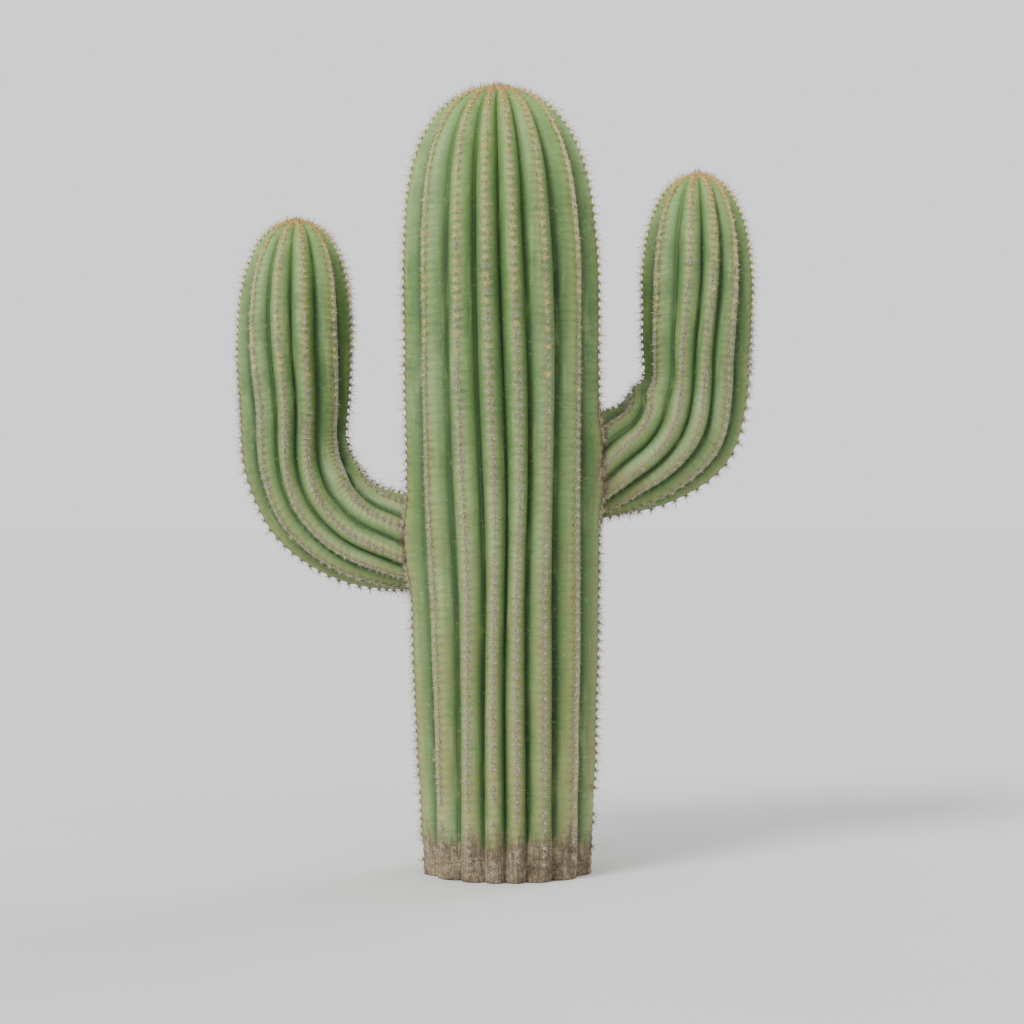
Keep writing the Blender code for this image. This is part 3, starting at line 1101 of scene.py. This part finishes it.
def skin_finish():
    """Waxy ribbed green skin with painted shade in the grooves and painted light on the crests;
    cork and scars where it is old.
    """
    finish = Finish("cactus skin", SKIN_BASE, SKIN_ROUGHNESS)
    place = finish.note("unbent", "Vector")
    crest, young, corky = finish.note("crest"), finish.note("young"), finish.note("corky")
    length, halo, seam = finish.note("length"), finish.note("halo"), finish.note("seam")
    each_rib = finish.rib_clouds(finish.note("rib_number"), length, RIB_TINTS)
    patterns = {name: finish.clouds(place, pattern) for name, pattern in SKIN_CLOUDS.items()}
    patterns |= {"crest": crest, "young": young, "each_rib": each_rib}
    patches, grain, streaks = patterns["patches"], patterns["grain"], patterns["streaks"]

    # painted shade and light: dark in the grooves, lighter out to the crests
    colour = finish.coated(paint(PAINTED_GROOVE_SHADOW), SKIN_COATS, patterns)
    weathered = finish.ease(young, *WEATHERED_AGE)
    weathered = weathered * finish.ease(patches + crest * WEATHERED_CREST, *WEATHERED_PATCHES)
    exposed = finish.ease(crest, *EXPOSED_CREST, *EXPOSURE)
    colour = finish.blend(weathered * exposed, colour, paint(WEATHERED_SHADE))
    halo = halo * finish.ease(young, *HALO_AGE)
    colour = finish.blend(halo * HALO_STRENGTH, colour, paint(HALO_SHADE))

    pits = finish.ragged(finish.cells(place, PIT_CELLS), patterns, PIT_EDGE)
    pitted = finish.ease(pits, *PIT_RADIUS) * finish.ease(patterns["pocked"], *PIT_PATCHES)
    colour = finish.blend(pitted * PIT_STRENGTH, colour, paint(PIT_SHADE))

    upright_cracks = finish.maths("ABSOLUTE", patterns["fissures"] - 0.5)
    level_cracks = finish.maths("ABSOLUTE", patterns["checks"] - 0.5)
    upright_cracks = finish.ease(upright_cracks, *UPRIGHT_CRACKS)
    level_cracks = finish.ease(level_cracks, *LEVEL_CRACKS)
    cracks = finish.maths("MAXIMUM", upright_cracks, level_cracks)
    bark = finish.coated(paint(BARK_SHADE), BARK_COATS, patterns)
    # painted shade in the cracks
    bark = finish.blend(cracks * PAINTED_CRACK_STRENGTH, bark, paint(PAINTED_CRACK_SHADE))
    cork = finish.ease(finish.ragged(corky, patterns, CORK_EDGE), *CORK_RANGE)
    ring = finish.ease(finish.ragged(seam, patterns, SEAM_EDGE), *SEAM_RANGE)
    dry = finish.maths("MAXIMUM", cork, ring)
    finish.set("Base Color", finish.blend(dry * BARK_STRENGTH, colour, bark))

    shaded = finish.ease(crest, *SHADED_CREST)
    waxy = finish.ease(patches, *WAXY_PATCHES, *WAXY_ROUGHNESS)
    rough = finish.maths("MAXIMUM", dry, finish.maths("MAXIMUM", pitted, shaded))
    finish.set("Roughness", waxy + (DRY_ROUGHNESS - waxy) * rough)
    height = grain * GRAIN_BUMP + streaks * STREAK_BUMP
    height = height + patterns["wrinkles"] * WRINKLE_BUMP + patches * PATCH_BUMP
    height = height + dry * (grain * BARK_BUMP - cracks * CRACK_BUMP) - pitted * PIT_BUMP
    finish.raise_relief(height, BUMP_DEPTH, BUMP_STRENGTH)
    return finish.material


SPINE_BASES = {"Old": "ABA28C", "Middle": "CDBB8C", "Young": "CFAF70", "Tip": "5A4631"}
SPINE_ROUGHNESS = 0.55
FELT_BASES = {"Old": "635B4A", "Middle": "8E7F62", "Young": "D8C79C"}
FELT_ROUGHNESS = 0.95


def plain_finishes(kind, bases, roughness):
    """Plain colours that whole tufts are dealt, by the tuft's age."""
    return {
        age: Finish(f"{age.lower()} {kind}", base, roughness).material
        for age, base in bases.items()
    }


FLOOR_BASE, FLOOR_ROUGHNESS = "BFBDBA", 0.9
FLOOR_SHADES = ("BBBAB8", "C1C0BE")
FLOOR_CLOUDS = Clouds(0.8, 3.0)


def floor_finish():
    """A pale floor, very slightly clouded."""
    finish = Finish("pale floor", FLOOR_BASE, FLOOR_ROUGHNESS)
    cloud = finish.clouds(finish.get("ShaderNodeTexCoord", output="Object"), FLOOR_CLOUDS)
    finish.set("Base Color", finish.blend(cloud, *map(paint, FLOOR_SHADES)))
    return finish.material


# The whole cactus


def finished(piece, slot, *nodes):
    """Tells the frame what a piece is: its body, and the solids it stands for, which it hides.
    The slot is not used.
    """
    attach(piece, "root")
    if nodes:
        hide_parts(*nodes)


def make_cactus():
    """Makes the three skins, then the felt and the spines that stand on each of them."""
    trunk = Trunk()
    arms = [ArmLimb(LEFT_ARM), ArmLimb(RIGHT_ARM)]
    skins, felts, spines = skin_tree(), felt_tree(), spine_tree()
    skin_material = skin_finish()
    spine_colours = plain_finishes("spines", SPINE_BASES, SPINE_ROUGHNESS)
    felt_colours = plain_finishes("felt", FELT_BASES, FELT_ROUGHNESS)
    crown_colours = {**spine_colours, "Tip": spine_colours["Young"]}
    necks = neck_places(arms)

    pieces = {limb: grow_skin(skins, limb, skin_material, necks) for limb in (trunk, *arms)}
    searches = {limb: skin_search(piece) for limb, piece in pieces.items()}
    for arm in arms:
        mark_seam(pieces[trunk], searches[arm])
        mark_seam(pieces[arm], searches[trunk])

    for limb, skin in pieces.items():
        finished(skin, limb.slot, *limb.nodes)
        dice = np.random.default_rng(SEEDS[limb.name])
        table = areoles_of(limb, skin, trunk, arms, dice)
        crown = crown_areoles(limb, searches[limb])
        points = areole_points(limb.name + "_areoles", table, dice)
        tips = areole_points(limb.name + "_crown", crown, dice)
        tufts = (
            ("felt", felts, points, {**FELT, **felt_colours}),
            ("crown_felt", felts, tips, {**CROWN_FELT, **felt_colours}),
            ("radial_spines", spines, points, {**RADIAL_SPINES, **spine_colours}),
            ("central_spines", spines, points, {**CENTRAL_SPINES, **spine_colours}),
            ("crown_spines", spines, tips, {**CROWN_SPINES, **crown_colours}),
        )
        for kind, tree, places, values in tufts:
            finished(tree.grow(limb.name + "_" + kind, places, values), limb.slot)


# Studio

CAMERA_LENS = 80.0
CAMERA_PLACE = Vector((0.019, -8.75, 1.377))
FLOOR_RADIUS = 150.0
FLOOR_SIDES = 96
FLOOR_DROP = 0.001  # below the cut, so that the two don't share a plane
AMBIENT = (1.0, 1.01, 1.03, 1.0)
AMBIENT_STRENGTH = 1.25
SUNS = (  # name, place, spread in degrees, strength
    ("key", (-4.6, -5.2, 6.0), 20, 3.9),
    ("back light", (4.6, 5.0, 4.4), 26, 1.4),
)


def make_camera():
    """A camera that looks level at the cactus from the front."""
    lens = bpy.data.cameras.new("camera")
    lens.lens = CAMERA_LENS
    camera = placed("camera", lens)
    camera.location = CAMERA_PLACE
    camera.rotation_euler = (math.pi / 2, 0.0, 0.0)
    bpy.context.scene.camera = camera


def make_light():
    """Two wide suns in an even pale surrounding."""
    for name, place, spread, strength in SUNS:
        light = bpy.data.lights.new(name, "SUN")
        light.angle = math.radians(spread)
        light.energy = strength
        lamp = placed(name, light)
        lamp.location = place
        lamp.rotation_euler = Vector(place).to_track_quat("Z", "Y").to_euler()
    world = bpy.data.worlds.new("studio")
    world.use_nodes = True
    sky = world.node_tree.nodes["Background"].inputs
    sky["Color"].default_value = AMBIENT
    sky["Strength"].default_value = AMBIENT_STRENGTH
    bpy.context.scene.world = world


def make_floor():
    """A wide pale disc just under the cut."""
    corners = [
        (FLOOR_RADIUS * math.cos(a), FLOOR_RADIUS * math.sin(a), -FLOOR_DROP)
        for a in (math.tau * i / FLOOR_SIDES for i in range(FLOOR_SIDES))
    ]
    mesh = bpy.data.meshes.new("floor")
    mesh.from_pydata(corners, [], [tuple(range(len(corners)))])
    mesh.materials.append(floor_finish())
    floor = placed("floor", mesh)


make_camera()
make_light()
make_floor()
make_cactus()
